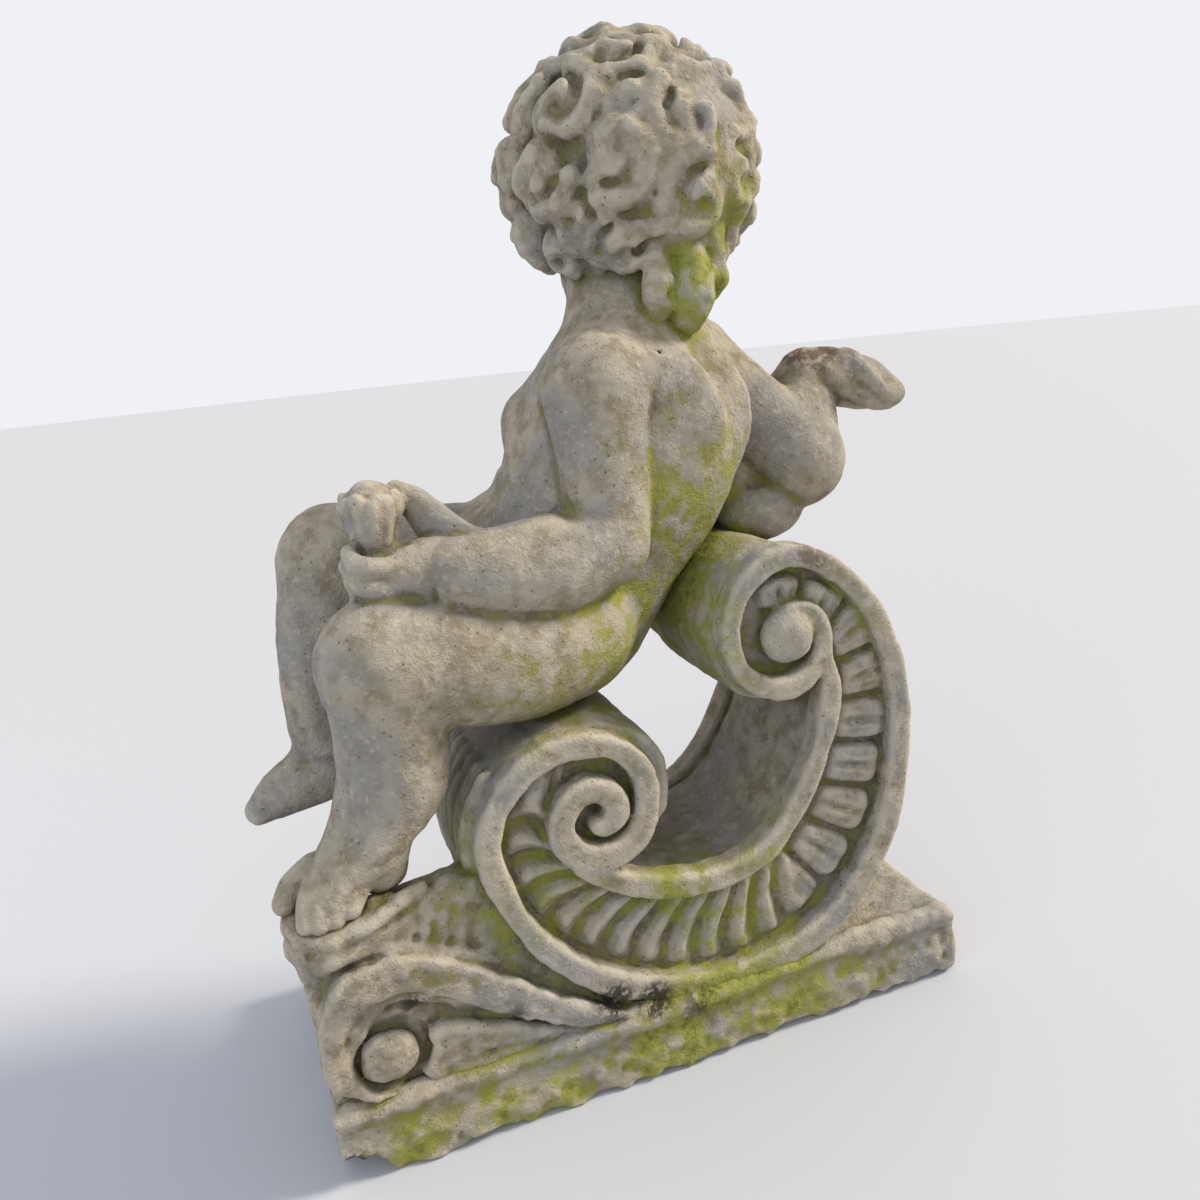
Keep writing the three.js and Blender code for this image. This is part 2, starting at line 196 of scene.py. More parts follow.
def grain(x, y, z, size, seed):
    """Soft random relief of that size in mm, between about -1 and 1."""
    waves = []
    for v in (x, y, z):
        v = v.ravel()
        cells = (v - v[0]) / size + 1.5
        first = np.floor(cells).astype(int)
        t = cells - first
        t = t * t * (3 - 2 * t)
        w = np.zeros((len(v), first[-1] + 2), np.float32)
        w[np.arange(len(v)), first] = 1 - t
        w[np.arange(len(v)), first + 1] = t
        waves.append(w)
    lattice = np.random.default_rng(seed).uniform(-1.6, 1.6, [w.shape[1] for w in waves]).astype(np.float32)
    out = np.tensordot(waves[0], lattice, (1, 0))
    out = np.tensordot(out, waves[1], (1, 1)).transpose(0, 2, 1)
    return np.tensordot(out, waves[2], (2, 1))


def weather(block, *sizes):
    """Roughens the whole field: each size is (mm across, mm deep, seed)."""
    where, x, y, z = block.near(block.low, block.low + block.step * np.array(block.depth.shape))
    for across, deep, seed in sizes:
        block.depth += deep * grain(x, y, z, across, seed)


plinth = Block([-340, -170, -16], [340, 170, 110])
half_x, half_y = PLINTH["length"] / 2, PLINTH["depth"] / 2
plinth.add(box([-half_x, -half_y, -12], [half_x, half_y, PLINTH["height"]], 5))
# the worn shelf along the near side, and the shallow hollow under it
plinth.cut(limb([[-330, -166, 48, 20], [-60, -166, 46, 19], [330, -166, 50, 19]]), fillet=8)
plinth.add(limb([[-300, -137, 66, 11], [0, -138, 68, 11], [307, -138, 68, 11]]), fillet=8)
# the underside's edge has lost chips of 10 to 30 mm all along
chips = np.random.default_rng(31)
for i in range(34):
    x, r = -310 + 19 * i + chips.uniform(-8, 8), chips.uniform(5, 13)
    plinth.cut(ball([x, -half_y - 2, -3], [r * 1.5, r, r * 0.9], [0, 0, chips.uniform(-30, 30)]), fillet=3)
    plinth.cut(ball([x, half_y + 2, -3], [r * 1.4, r * 0.7, r * 0.7], [0, 0, chips.uniform(-30, 30)]), fillet=3)
for y in range(-130, 140, 22):
    for x in (-half_x - 2, half_x + 2):
        r = chips.uniform(4, 10)
        plinth.cut(ball([x, y + chips.uniform(-8, 8), -3], [r * 0.8, r * 1.4, r * 0.8]), fillet=3)
plinth.cut(ball([-half_x, -half_y, -4], [44, 34, 32], [0, 0, 20]), fillet=4)
# the stump of a broken leaf stands behind the scroll
plinth.add(limb([[286, -40, 66, 13], [288, -38, 92, 10]]), fillet=10)
weather(plinth, (60, 1.2, 1), (22, 1.0, 2), (9, 0.7, 3))
# the rough lower band was never dressed smooth
where, x, y, z = plinth.near([-340, -170, -16], [340, 170, 40])
plinth.depth[where] += 1.4 * grain(x, y, z, 11, 4) * np.clip((38 - z) / 8, 0, 1)


# ---- Mound under the left foot ----
# A squared rock that grows out of the plinth. A thick lip hangs over its near face, soft flutes run down
# under the lip, and a small scroll with a leaf in its hollow is carved between them and the plinth.

MOUND = {"front": -132, "ledge": -84, "back": 60, "top": 245, "low": 160}
RELIEF = -half_y + 1


def band(line):
    """Distance in X and Z to a flat band along a line of x, z and half width."""
    def distance(x, z):
        best = None
        for a, b in zip(line, line[1:]):
            dx, dz = b[0] - a[0], b[1] - a[1]
            t = np.clip(((x - a[0]) * dx + (z - a[1]) * dz) / (dx * dx + dz * dz + 1e-6), 0, 1)
            d = np.hypot(x - a[0] - t * dx, z - a[1] - t * dz) - (a[2] + (b[2] - a[2]) * t)
            best = d if best is None else np.minimum(best, d)
        return best
    return line[:, :2].min(0) - line[:, 2].max(), line[:, :2].max(0) + line[:, 2].max(), distance


def outline(points):
    """Distance in X and Z to a closed outline, less than zero inside it."""
    p = np.array(points, float)

    def distance(x, z):
        best, inside = None, False
        for a, b in zip(p, np.roll(p, -1, 0)):
            dx, dz = b - a
            t = np.clip(((x - a[0]) * dx + (z - a[1]) * dz) / (dx * dx + dz * dz + 1e-6), 0, 1)
            d = np.hypot(x - a[0] - t * dx, z - a[1] - t * dz)
            best = d if best is None else np.minimum(best, d)
            crosses = (a[1] > z) != (b[1] > z)
            inside = inside ^ (crosses & (x < dx * (z - a[1]) / (dz if dz else 1e-6) + a[0]))
        return np.where(inside, -best, best)
    return p.min(0), p.max(0), distance


def slab(flat, front, back, soft, grow=0.0):
    """A flat shape in X and Z drawn out between two depths, with rounded edges."""
    low, high, flat_distance = flat
    middle, half = (front + back) / 2, (back - front) / 2 - soft

    def distance(x, y, z):
        d = flat_distance(x, z) - grow + soft
        e = np.abs(y - middle) - half
        return np.minimum(np.maximum(d, e), 0) + np.hypot(np.maximum(d, 0), np.maximum(e, 0)) - soft

    return (low[0] - grow, front, low[1] - grow), (high[0] + grow, back, high[1] + grow), distance


mound = Block([-356, -170, 40], [40, 150, 290])
front, ledge, back, top = MOUND["front"], MOUND["ledge"], MOUND["back"], MOUND["top"]
# the foot stands on a narrow ledge, and behind it the rock drops away
mound.add(slab(outline([
    [-314, 50], [-316, 120], [-322, 200], [-324, top], [-262, top - 8], [-160, top + 4],
    [-128, 190], [-80, 120], [0, 56],
]), front, ledge, 9))
mound.cut(box([-420, -80, 60], [-304, 120, 300], 10), fillet=20)
mound.add(slab(outline([[-300, 50], [-296, 96], [-262, 116], [-120, 118], [-60, 96], [0, 56]]), ledge - 20, back, 12),
          fillet=10)
mound.add(
    ball([-240, -30, 80], [56, 66, 96], [0, 0, 20]), ball([-180, 30, 86], [66, 60, 78], [0, 0, 50]),
    ball([-250, 74, 60], [58, 50, 62], [0, 0, 75]), ball([-104, 70, 66], [74, 54, 58], [0, 0, 10]),
    fillet=14)
# soft flutes down the near face
for i in range(6):
    x = -312 + 26 * i
    mound.cut(limb([[x, front - 7, 206, 9], [x - 3, front - 6, 180, 10], [x + 6, front - 10, 150, 8]]), fillet=8)
# the lip that the toes hang over, in two thin beds, and the small folds that run on from it
mound.add(limb([[-306, -78, 241, 11], [-318, -108, 239, 12], [-297, -130, 232, 10], [-264, -134, 237, 9],
                [-238, -131, 244, 8], [-212, -122, 251, 7]]), fillet=4)
mound.add(limb([[-313, -84, 220, 10], [-318, -112, 218, 11], [-300, -130, 214, 9], [-266, -133, 220, 7],
                [-232, -130, 232, 5]]), fillet=5)
for i in range(6):
    x = -262 + 15 * i
    mound.add(limb([[x + 7, -120, 246 - 3 * i, 8], [x + 1, -129, 228 - 4 * i, 8], [x - 3, -127, 212 - 5 * i, 6]]), fillet=7)
mound.add(limb([[-274, -131, 214, 7], [-236, -134, 205, 8], [-196, -133, 188, 7], [-160, -132, 166, 5]]), fillet=7)
mound.add(ball([-176, -112, 236], [26, 18, 13], [0, 24, 0]), ball([-150, -116, 208], [18, 16, 22], [0, 30, 0]), fillet=7)
# the small scroll: its arm rises from the plinth, curls over and ends in a round eye
arm = through([
    [-36, 70, 3], [-99, 97, 11], [-160, 139, 15], [-212, 176, 17], [-250, 190, 17], [-284, 184, 15],
    [-303, 162, 11], [-309, 132, 10], [-303, 104, 10], [-284, 87, 10], [-260, 83, 9], [-246, 94, 6],
], 5, 2)
mound.add(slab(band(arm), RELIEF, front + 24, 5), fillet=3)
inner_slope = through([
    [-120, 106, 8], [-170, 136, 12], [-212, 160, 13], [-246, 171, 13], [-272, 165, 13], [-288, 148, 14],
    [-292, 122, 14], [-282, 100, 12],
], 4, 2)
mound.add(slab(band(inner_slope), RELIEF + 9, front + 24, 5), fillet=9)
mound.add(ball([-263, RELIEF + 11, 110], [25, 16, 25]), fillet=3)
mound.cut(limb([[-222, RELIEF + 6, 138, 5], [-250, RELIEF + 8, 146, 6], [-266, RELIEF + 9, 142, 5],
                [-284, RELIEF + 9, 122, 3]]), fillet=4)
leaf = through([[-44, 68, 3], [-104, 74, 9], [-156, 86, 17], [-196, 94, 25], [-216, 97, 29]], 4, 2)
mound.add(slab(band(leaf), RELIEF + 6, front + 24, 6), fillet=3)
mound.cut(slab(band(np.array([[-262, 110, 31], [-258, 110, 31]])), RELIEF - 10, RELIEF + 20, 4), fillet=3)
mound.add(ball([-263, RELIEF + 11, 110], [25, 16, 25]), fillet=1)
mound.cut(limb([[-216, RELIEF + 3, 80, 5], [-170, RELIEF + 3, 84, 5], [-104, RELIEF + 3, 71, 3]]), fillet=4)
mound.cut(limb([[-232, RELIEF + 5, 134, 5], [-180, RELIEF + 4, 122, 5], [-110, RELIEF + 4, 92, 3]]), fillet=4)
weather(mound, (40, 1.6, 11), (17, 1.2, 12), (8, 0.7, 13))


# ---- C scroll ----
# The seat: a thick C cut right through from side to side. On each side two rims run along it and roll up
# into a volute at either end, and a row of petals fills the sunk channel between the rims.

SCROLL = {"front": -146, "back": 60, "sink": 15}
front, back, sink = SCROLL["front"], SCROLL["back"], SCROLL["sink"]


def spiral(pole, start, direction, turns):
    """x, z and half width every 15 degrees about a pole, from the radius and half width at each quarter turn."""
    quarters = np.arange(0, len(turns) - 0.99, 1 / 6)
    radius, half = (np.interp(quarters, range(len(turns)), [t[k] for t in turns]) for k in (0, 1))
    angles = np.radians(start + direction * 90 * quarters)
    return np.stack([pole[0] + radius * np.cos(angles), pole[1] + radius * np.sin(angles), half], 1).tolist()


def relief(low, high, surface, slope=0.7):
    """Carving on the near side: `surface` gives the depth Y of the stone at each x and z."""
    def distance(x, y, z):
        return (surface(x, z) - y) * slope
    return low, high, distance


lower = spiral([-55, 281], -90, 1,
               [[9, 8], [17, 11], [26, 12], [34, 13], [40, 13], [47, 11], [69, 11], [100, 11]])
upper = spiral([143, 410], 90, 1, [[74, 11], [57, 10], [51, 10], [34, 9], [20, 9]])
outer_rim = np.vstack([lower, through([
    lower[-2], lower[-1], [-134, 198, 11], [-78, 127, 12], [10, 82, 14], [92, 76, 15], [176, 104, 14],
    [236, 178, 13], [258, 265, 12], [256, 345, 11], [232, 416, 10], [190, 464, 10], upper[0], upper[1],
], 5, 2)[5:-5], upper])
inner_rim = through([
    [-75, 236, 7], [-45, 214, 11], [0, 195, 12], [55, 187, 12], [108, 202, 12], [148, 246, 12],
    [175, 300, 11], [184, 345, 10], [180, 385, 7],
], 4, 2)
wall = through([
    [-152, 276], [-134, 198], [-78, 127], [10, 82], [92, 76], [176, 104], [236, 178], [258, 265], [256, 345],
    [232, 416], [190, 464], [143, 482], [98, 462], [80, 410], [98, 362], [143, 342], [184, 345],
    [175, 300], [148, 246], [108, 202], [55, 187], [0, 195], [-34, 216], [16, 260], [14, 320], [-30, 352],
    [-90, 352], [-140, 326], [-152, 276],
], 4, 2)[:-1]

scroll = Block([-180, -160, 44], [290, 84, 510])
scroll.add(slab(outline(wall), front + 26, back - 26, 6, grow=4), fillet=0)
scroll.add(slab(outline(wall), front + sink + 9, back - sink - 4, 4, grow=-4), fillet=3)
for side in (front, back):
    near, far = (side, side + 26) if side < 0 else (side - 26, side)
    scroll.add(slab(band(outer_rim), near, far, 3.5), fillet=2)
    scroll.add(slab(band(inner_rim), near, far, 3.5), fillet=2)
    scroll.add(ball([143, side + (9 if side < 0 else -9), 410], [27, 19, 27]), fillet=2)

# the petals: round-ended tongues in pairs on the right, narrowing into leaf-like flutes round the left
middle = through([
    [118, 446, 12], [150, 446, 16], [180, 430, 20], [212, 396, 24], [226, 345, 26], [220, 290, 30],
    [204, 230, 32], [172, 178, 34], [126, 144, 36], [76, 132, 38], [20, 138, 38], [-40, 164, 34],
    [-88, 204, 28], [-112, 256, 24], [-104, 300, 18],
], 6, 2)
along = np.concatenate([[0], np.cumsum(np.hypot(*np.diff(middle[:, :2], axis=0).T))])


def petals(x, z):
    """How far the petals stand out of the channel's floor."""
    best = np.full(np.broadcast(x, z).shape, 1e6, np.float32)
    u, v = np.zeros_like(best), np.zeros_like(best)
    for i, (a, b) in enumerate(zip(middle, middle[1:])):
        dx, dz = b[0] - a[0], b[1] - a[1]
        length = np.hypot(dx, dz)
        t = np.clip(((x - a[0]) * dx + (z - a[1]) * dz) / length ** 2, 0, 1)
        ex, ez = x - a[0] - t * dx, z - a[1] - t * dz
        d = np.hypot(ex, ez)
        closer = d < best
        best = np.where(closer, d, best)
        u = np.where(closer, along[i] + t * length, u)
        v = np.where(closer, (ez * dx - ex * dz) / length / (a[2] + (b[2] - a[2]) * t), v)
    # towards the bottom of the C the tongues give way to single curved flutes
    late = np.clip((u - 360) / 60, 0, 1)
    tongue = 2 * np.mod(u / 46, 1) - 1
    plump = np.clip(1 - np.abs(tongue * 1.08) ** 4 - np.abs(v * 1.02) ** 6, 0, 1) ** 0.5
    groove = np.exp(-(tongue / 0.17) ** 2) * np.clip(1.1 - np.abs(v), 0, 1)
    groove += 0.6 * np.exp(-((np.abs(tongue) - 0.5) / 0.14) ** 2) * np.clip(0.9 - np.abs(v), 0, 1)
    tongues = plump * (14 - 6 * groove)
    flute = 2 * np.mod((u + 9 * v * v - 10 * v) / 29, 1) - 1
    ridge = np.exp(-(flute / 0.42) ** 2) * np.clip(1.3 - np.abs(v) ** 3, 0, 1)
    flutes = 4 + 9 * ridge - 3 * np.exp(-((np.abs(flute) - 0.95) / 0.2) ** 2)
    height = tongues * (1 - late) + flutes * late
    return np.where(np.abs(v) < 1.25, height, 0) * np.clip(4 - 3 * np.abs(v), 0, 1)


scroll.add(relief([-150, front, 84], [262, front + 40, 470],
                  lambda x, z: np.where(outline(wall)[2](x, z) < -2, front + sink + 9 - petals(x, z), 400)))
# worn leaves stand up the left end of the scroll, behind the calf
for i in range(7):
    y = front + 34 + 24 * i
    scroll.add(limb([[-144, y, 326, 8], [-158, y + 3, 292, 13], [-159, y + 5, 240, 15], [-152, y + 8, 184, 12],
                     [-140, y + 8, 140, 9]]), fillet=6)
weather(scroll, (44, 1.1, 21), (16, 0.7, 22), (7, 0.45, 23))
rub_down(scroll)


# ---- Child ----
# A plump child of two or three, seated sideways on the lower volute. The left foot stands on the mound,
# the right leg hangs free behind it, and the right elbow rests on the upper volute.

ACROSS = [0.8, 0.6, 0]
child = Block([-376, -176, 236], [410, 176, 980])
child.add(
    limb([[-22, 8, 430, 92, 82], [14, 15, 502, 102, 98], [66, 16, 588, 117, 109], [88, 20, 640, 100, 74]],
         ACROSS, steps=6), fillet=0)
child.add(ball([-42, 42, 502], [72, 72, 56], [0, 0, 30]), fillet=12)
child.add(ball([-4, 36, 612], [49, 49, 38]), ball([60, 84, 612], [49, 49, 38]), fillet=12)
child.add(ball([-44, -46, 424], [67, 62, 61]), ball([-4, 66, 424], [65, 60, 61]), fillet=10)
child.add(limb([[18, -44, 652, 37], [88, 12, 676, 46], [154, 60, 656, 40]], steps=4), fillet=18)
child.add(limb([[76, 16, 650, 66], [74, 22, 696, 54], [84, 32, 770, 58]], steps=4), fillet=26)
# left leg
child.add(limb([[-40, -46, 430, 67], [-100, -75, 428, 65], [-206, -94, 446, 55]], steps=6), fillet=8)
child.add(limb([[-208, -94, 443, 54], [-213, -92, 390, 49], [-217, -93, 345, 47], [-244, -100, 300, 34],
                [-244, -96, 270, 27]], steps=5), fillet=12)
# right leg
child.add(limb([[8, 70, 430, 66], [-90, 68, 476, 61], [-226, 60, 510, 47]], steps=6), fillet=8)
child.add(limb([[-227, 60, 510, 47], [-246, 60, 450, 45], [-266, 62, 360, 33], [-266, 62, 308, 30]], steps=5),
          fillet=14)
child.add(limb([[-262, 62, 300, 31], [-304, 58, 291, 27], [-339, 55, 274, 14]]), fillet=14)
# left arm
child.add(limb([[14, -55, 638, 50], [8, -70, 572, 42], [-2, -84, 512, 38]], steps=6), fillet=3)
child.add(ball([24, -46, 642], [46, 44, 42]), fillet=20)
child.add(limb([[-4, -86, 508, 38], [-60, -94, 501, 44], [-122, -96, 503, 37], [-172, -88, 515, 26]], steps=6),
          fillet=5)
# right arm, folded back on itself
child.add(limb([[160, 72, 640, 54], [208, 40, 590, 48], [252, 10, 542, 46]]), fillet=18)
child.add(limb([[252, 12, 538, 45], [272, 34, 585, 37], [284, 46, 622, 28]]), fillet=10)
child.add(ball([200, 18, 494], [53, 44, 32]), ball([176, 36, 520], [40, 38, 44]), fillet=6)
# back: the shoulder blades, the soft valley of the spine, and the cleft that it runs into
child.add(ball([92, -68, 610], [36, 20, 44], [0, 0, -37]), ball([140, -24, 606], [32, 20, 42], [0, 0, -37]), fillet=30)
child.cut(limb([[120, -62, 662, 8], [143, -92, 600, 10], [122, -98, 540, 10], [88, -92, 486, 9]]), fillet=30)
child.cut(limb([[80, -84, 452, 5], [58, -72, 400, 6], [20, -36, 350, 6]]), fillet=22)
# front: the fold under the chest, the fold over the hips, and the navel
child.cut(limb([[-64, 28, 584, 4], [-46, 92, 578, 4], [12, 136, 586, 4]]), fillet=14)
child.cut(limb([[-96, -14, 474, 5], [-112, 40, 462, 6], [-66, 104, 462, 5]]), fillet=16)
child.cut(ball([-88, 100, 508], [6, 6, 7]), fillet=8)
# knees with their caps and the folds under them, the crease behind the left knee, and the ankles
child.add(ball([-248, -104, 446], [14, 24, 25]), ball([-262, 58, 504], [14, 24, 25]), fillet=14)
child.cut(limb([[-262, -136, 402, 3], [-272, -96, 396, 3], [-262, -60, 402, 3]]), fillet=14)
child.cut(limb([[-272, -122, 296, 3], [-246, -136, 286, 3], [-212, -116, 288, 3], [-208, -84, 290, 3]]), fillet=10)
child.cut(limb([[-296, 40, 322, 3], [-268, 30, 318, 3], [-238, 46, 322, 3]]), fillet=10)
# elbows and wrists
child.cut(limb([[-22, -134, 536, 4], [-36, -118, 546, 5], [-40, -84, 548, 4]]), fillet=16)
child.cut(limb([[-164, -118, 530, 2], [-166, -122, 512, 2], [-160, -112, 492, 2]]), fillet=7)

# left foot: instep, heel and five long toes over the lip of the mound
child.add(limb([[-244, -100, 300, 32], [-268, -106, 284, 30, 25], [-290, -112, 267, 27, 16]], [0.6, -0.8, 0]),
          ball([-243, -92, 266], [20, 20, 19]), fillet=10)
for toe in ([[-296, -96, 280, 13], [-314, -99, 268, 13], [-322, -103, 258, 11]],
            [[-292, -106, 280, 9], [-304, -121, 266, 9], [-309, -130, 248, 8]],
            [[-284, -110, 278, 9], [-294, -125, 265, 9], [-298, -133, 246, 8]],
            [[-274, -112, 275, 9], [-282, -127, 263, 8.5], [-285, -133, 247, 7.5]],
            [[-254, -110, 270, 10], [-264, -124, 262, 9], [-271, -131, 252, 8]]):
    child.add(limb(toe), fillet=3)
# right foot, with its toes pressed together
for i in range(4):
    child.add(limb([[-318 + 2 * i, 46 + 7 * i, 281, 7.5], [-340 + 5 * i, 44 + 8 * i, 271, 7]]), fillet=5)
child.add(ball([-246, 64, 296], [20, 20, 20]), fillet=14)

# left hand, cupped round the foot of a flower head
child.add(ball([-188, -89, 512], [26, 23, 17]), fillet=10)
for finger in ([[-180, -98, 522, 10], [-202, -104, 525, 10], [-218, -98, 530, 9], [-222, -90, 540, 7]],
               [[-182, -98, 508, 11], [-206, -104, 509, 10], [-220, -96, 516, 9], [-226, -88, 528, 7]],
               [[-184, -92, 495, 11], [-204, -98, 496, 10], [-217, -90, 502, 9], [-224, -80, 514, 7]]):
    child.add(limb(finger), fillet=5)
child.add(limb([[-199, -80, 522, 13], [-199, -78, 545, 18], [-198, -76, 566, 21], [-198, -76, 574, 19]]), fillet=4)
for i in range(12):
    turn = 2 * np.pi * i / 12
    out = np.array([np.cos(turn), np.sin(turn), 0])
    at = np.array([-199, -78, 532])
    child.add(limb([[*(at + 12 * out), 4], [*(at + 19 * out + [0, 1, 22]), 5.5], [*(at + 22 * out + [1, 2, 42 + 3 * (i % 3)]), 5.5]]),
              fillet=2.5)
for i in range(26):
    turn, out = 2.4 * i, 4.6 * np.sqrt(i)
    child.add(ball([-198 + out * np.cos(turn), -76 + out * np.sin(turn), 583 - 0.5 * out + 3 * (i % 3)], [4.6, 4.6, 6]), fillet=2)
# the thumb and the heel of the hand rise behind it to a blunt point
child.add(limb([[-176, -66, 582, 7, 9], [-163, -66, 570, 9, 14], [-148, -72, 548, 11, 19], [-132, -80, 526, 13, 24]],
               [0.5, 0.85, 0]), fillet=5)
child.cut(ball([-174, -88, 552], [9, 12, 17], [0, 20, 0]), fillet=4)

# right hand on the stump of a bundle of twisted stems
child.add(ball([289, 45, 627], [29, 25, 24]), fillet=12)
stump = through([[262, 58, 614, 17], [284, 48, 622, 24], [310, 36, 621, 26], [344, 18, 608, 24], [364, 6, 598, 15]], 5)
child.add(limb(stump[:, :4][::5], steps=5), fillet=4)
for i in range(5):
    strand = []
    for k, (x, y, z, r) in enumerate(stump[6:]):
        turn = i * 0.4 * np.pi + 0.16 * k
        side = np.array([0.45, 0.89, 0]) * np.cos(turn) + np.array([0.2, 0, 0.98]) * np.sin(turn)
        strand.append([*(np.array([x, y, z]) + 0.78 * r * side), 0.42 * r])
    child.add(limb(strand, steps=1), fillet=1.5)
for i in range(4):
    x, y, z = 326 - 13 * i, 16 + 5 * i, 636 - i
    child.add(limb([[x - 2, y + 14, z + 6, 8], [x + 2, y - 2, z - 2, 9], [x + 1, y - 8, z - 16, 8.5],
                    [x + 2, y - 2, z - 30, 7.5]]), fillet=4)

# a small lozenge of stone is lost from the back
child.cut(ball([66, -66, 662], [6, 9, 7], [0, 45, 30]), fillet=1)

# head: a calm, round child's face on plain proportions
HEAD = np.array([94.0, 30.0, 828.0])
AHEAD = np.array([-0.36, 0.933, 0])
ASIDE = np.array([0.933, 0.36, 0])
TURN = [0, 0, np.degrees(np.arctan2(0.36, 0.933))]


def place(forward, aside, up):
    """A place on the head: how far forward, to its right, and up from its middle."""
    return HEAD + forward * AHEAD + aside * ASIDE + np.array([0, 0, up])


child.add(ball(place(-10, 0, 0), [88, 96, 92], TURN), fillet=20)
child.add(ball(place(18, 0, -16), [73, 79, 86], TURN), fillet=14)
child.add(ball(place(70, 0, -78), [26, 24, 18], TURN), ball(place(42, 0, -88), [44, 36, 22], TURN), fillet=20)
for hand in (-1, 1):
    child.add(ball(place(64, 38 * hand, -36), [27, 27, 28], TURN), fillet=18)
    child.cut(ball(place(104, 29 * hand, -2), [19, 14, 13], TURN), fillet=12)
    child.add(ball(place(79, 29 * hand, -4), [14.5, 13.5, 12.5], TURN), fillet=3)
    child.add(limb([[*place(84, 14 * hand, -5), 2.5], [*place(93, 27 * hand, 6), 3.4],
                    [*place(83, 44 * hand, -3), 2.5]]), fillet=3)
    child.add(limb([[*place(84, 14 * hand, -8), 2], [*place(92, 28 * hand, -13), 2.6],
                    [*place(82, 43 * hand, -6), 2]]), fillet=4)
    child.add(limb([[*place(93, 9 * hand, 13), 6], [*place(90, 28 * hand, 19), 6.5],
                    [*place(76, 50 * hand, 12), 5]]), fillet=12)
child.add(limb([[*place(92, 0, 8), 7], [*place(98, 0, -8), 7], [*place(104, 0, -21), 8.5]]), fillet=8)
for hand in (-1, 1):
    child.add(ball(place(98, 8.5 * hand, -25), [6, 8, 6], TURN), fillet=4)
    child.cut(ball(place(104, 5 * hand, -31), [2.6, 4, 2.6], TURN), fillet=2)
    child.cut(ball(place(92, 20 * hand, -48), [4, 5, 4], TURN), fillet=6)
child.add(ball(place(84, 0, -49), [22, 16, 14], TURN), fillet=10)
child.add(limb([[*place(90, -17, -49), 2.5], [*place(98, -6, -45), 4.4], [*place(98, 6, -45), 4.4],
                [*place(90, 17, -49), 2.5]]), fillet=4)
child.add(limb([[*place(89, -13, -52), 3], [*place(97, 0, -55), 5.4], [*place(89, 13, -52), 3]]), fillet=4)
child.cut(limb([[*place(91, -18, -50), 1.2], [*place(103, 0, -50), 1.6], [*place(91, 18, -50), 1.2]]), fillet=2)
rub_down(child)
weather(child, (34, 0.5, 41), (13, 0.35, 42), (6, 0.25, 43))


# ---- Curls ----
# A thick cap of snail curls. Each is a lock that winds inwards to a drilled eye, the carver's way to make
# hair look deep, and the weather has rounded them all. Longer locks hang down the nape.

CURL = {"aside": 115, "above": 110}
curls = Block([-60, -130, 670], [250, 190, 972])
curls.add(ball(place(-12, 0, 2), [101, 107, 97], TURN))


def curl(azimuth, height, ring, start, hand, long=0.3):
    """One lock: its direction from the head's middle, its size, where its groove opens, and which way it winds."""
    a, h = np.radians([azimuth, height])
    out = np.array([np.cos(a) * np.cos(h), np.sin(a) * np.cos(h), np.sin(h)])
    side = np.array([-np.sin(a), np.cos(a), 0])
    rise = np.cross(out, side)
    middle = HEAD + out * [CURL["aside"], CURL["aside"], CURL["above"]]
    flow = long * ring * (np.cos(start + 1.2) * side + np.sin(start + 1.2) * rise)
    curls.add(limb([[*(middle - 15 * out - flow), ring], [*(middle - 15 * out + flow), 0.9 * ring]]), fillet=3)
    ridge, groove = [], []
    for k in range(7):
        turn = start + hand * 0.7 * k
        way = np.cos(turn) * side + np.sin(turn) * rise
        wind = ring * (1.0 - 0.12 * k)
        rim = wind + 0.42 * ring
        top, rim_top = (-15 + np.sqrt(max(ring ** 2 - min(r, 0.92 * ring) ** 2, 0)) for r in (wind, rim))
        groove.append([*(middle + (top + 2) * out + wind * way), ring * (0.14 + 0.04 * k)])
        ridge.append([*(middle + (rim_top - 3) * out + rim * way), ring * (0.4 - 0.02 * k)])
    curls.add(limb(ridge[1:], steps=1), fillet=5)
    return limb(groove[1:], steps=1)


locks = [
    (-140, 24, 25, 2.2, -1), (-108, 23, 21, 0.4, 1), (-115, -1, 25, 3.4, 1), (-83, 13, 24, 1.4, 1),
    (-80, -20, 26, 0.8, 1), (-59, -46, 25, 1.0, -1), (-173, 33, 25, 4.0, -1), (-155, -4, 24, 0.5, -1),
    (164, -30, 24, 2.0, 1), (-138, -24, 22, 1.6, -1), (-120, -40, 23, 1.1, 1), (-40, 35, 26, 1.9, -1),
    (-30, 6, 25, 4.6, 1), (-52, -10, 23, 2.6, -1), (-26, -28, 26, 1.4, 1), (-77, 68, 25, 5.2, -1),
    (-150, 66, 26, 3.0, 1), (-60, 46, 22, 0.6, 1), (-157, -44, 22, 4.0, 1), (-96, -46, 22, 3.6, -1),
    (170, 5, 25, 2.4, 1), (-115, 47, 23, 1.0, -1),
]
set_by_hand = []
grooves = []
for azimuth, height, ring, start, hand in locks:
    grooves.append(curl(azimuth, height, ring + 3, start, hand))
    a, h = np.radians([azimuth, height])
    set_by_hand.append([np.cos(a) * np.cos(h), np.sin(a) * np.cos(h), np.sin(h)])
set_by_hand = np.array(set_by_hand)
# the rest follow in an even spiral round the head, and leave the face free
for i in range(30):
    up = 1 - 1.72 * (i + 0.5) / 30
    azimuth = i * 137.5
    out = np.array([*(np.sqrt(1 - up * up) * np.array([np.cos(np.radians(azimuth)), np.sin(np.radians(azimuth))])), up])
    if out @ AHEAD > 0.56 and up < 0.55 or (set_by_hand @ out).max() > 0.86:
        continue
    grooves.append(curl(azimuth, np.degrees(np.arcsin(up)), 26 + i % 3, 1.7 * i, 1 if i % 2 else -1))
